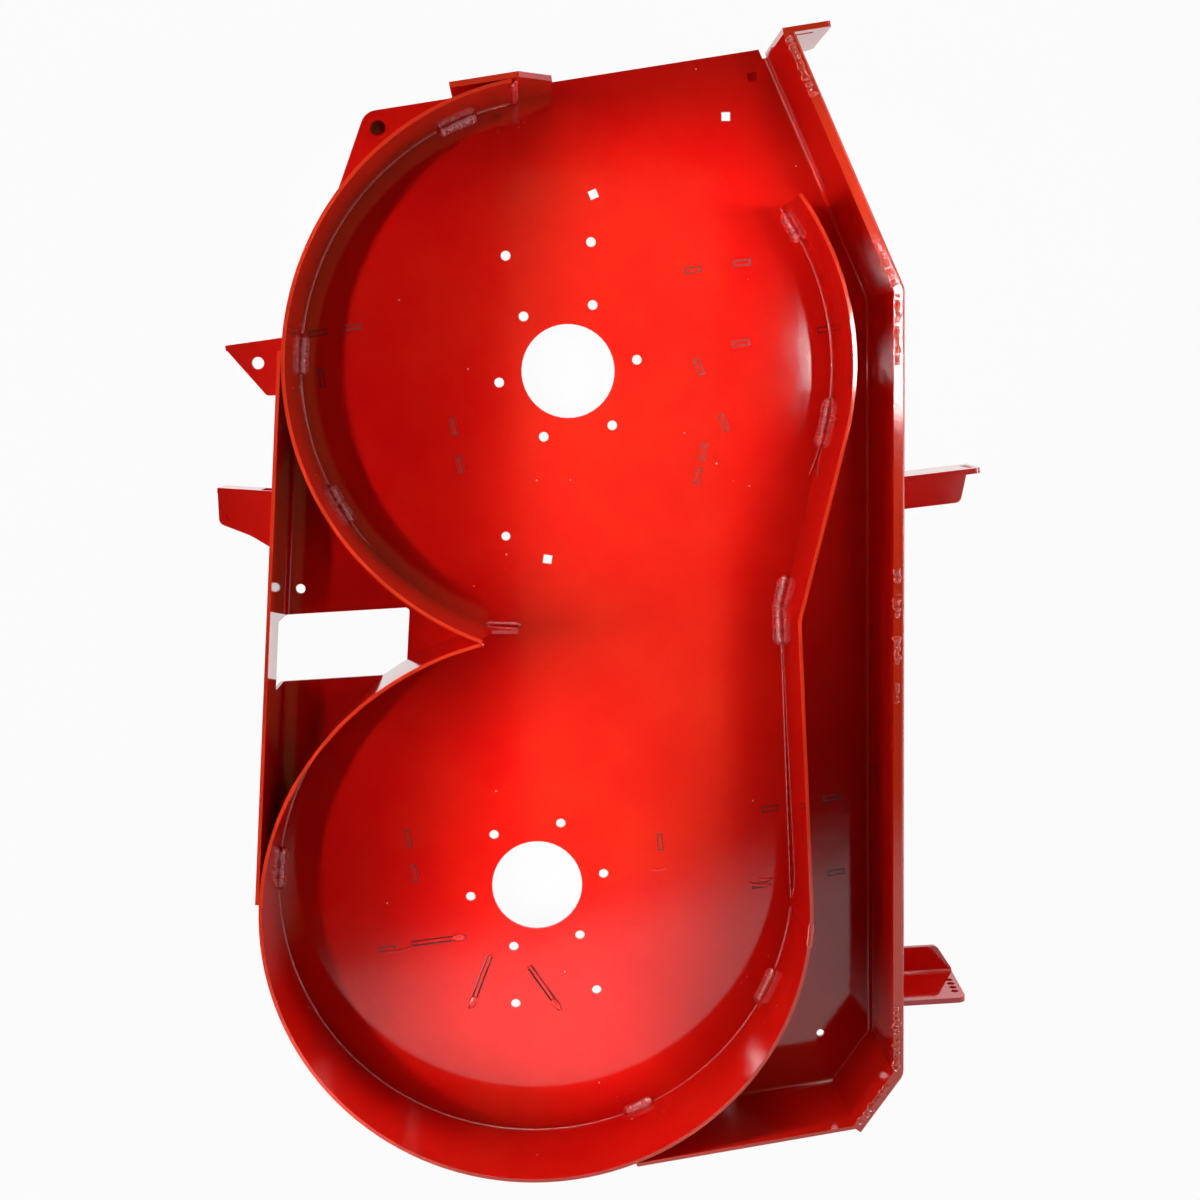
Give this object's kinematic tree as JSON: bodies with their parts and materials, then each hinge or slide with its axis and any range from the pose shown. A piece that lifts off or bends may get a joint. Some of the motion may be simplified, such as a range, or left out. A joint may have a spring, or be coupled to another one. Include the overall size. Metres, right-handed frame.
{
  "type": "lawn mower deck",
  "caption": "Welded side-discharge mower deck shell, open side up, with two blade chambers, spindle bores, baffles, a bent nose bar, hangers and belt-side ribs.",
  "frame": {"origin": "axis of the right spindle bore, on the chamber face of the deck plate", "axes": "+Z out of the open side, which faces up with the deck lying on its back; +X to the front of the mower; +Y to its right, the discharge side"},
  "size_m": [0.6304, 0.9613, 0.1375],
  "materials": {
    "powder_coat": "gloss"
  },
  "bodies": {
    "root": {"deck_shell": "powder_coat", "right_chamber_wall": "powder_coat", "left_chamber_wall": "powder_coat", "right_baffle": "powder_coat", "left_baffle": "powder_coat", "cusp_tongue": "powder_coat", "nose_bar": "powder_coat", "discharge_stop": "powder_coat", "chute_bracket": "powder_coat", "front_hanger_right": "powder_coat", "front_hanger_left": "powder_coat", "rear_hanger_right": "powder_coat", "rear_hanger_left": "powder_coat", "pivot_bushing": "powder_coat", "discharge_edge_angle": "powder_coat", "rib_front_right_outer": "powder_coat", "rib_front_right_inner": "powder_coat", "idler_rib_long": "powder_coat", "idler_rib_short": "powder_coat", "rib_right_cross": "powder_coat", "rib_rear_right": "powder_coat", "rib_rear_right_cross": "powder_coat", "rib_left_cross": "powder_coat", "rib_rear_left": "powder_coat", "strut_rear": "powder_coat", "strut_left": "powder_coat", "strut_right": "powder_coat", "rib_left_middle": "powder_coat", "rib_front_left_inner": "powder_coat", "rib_front_left_outer": "powder_coat"}
  },
  "joints": []
}
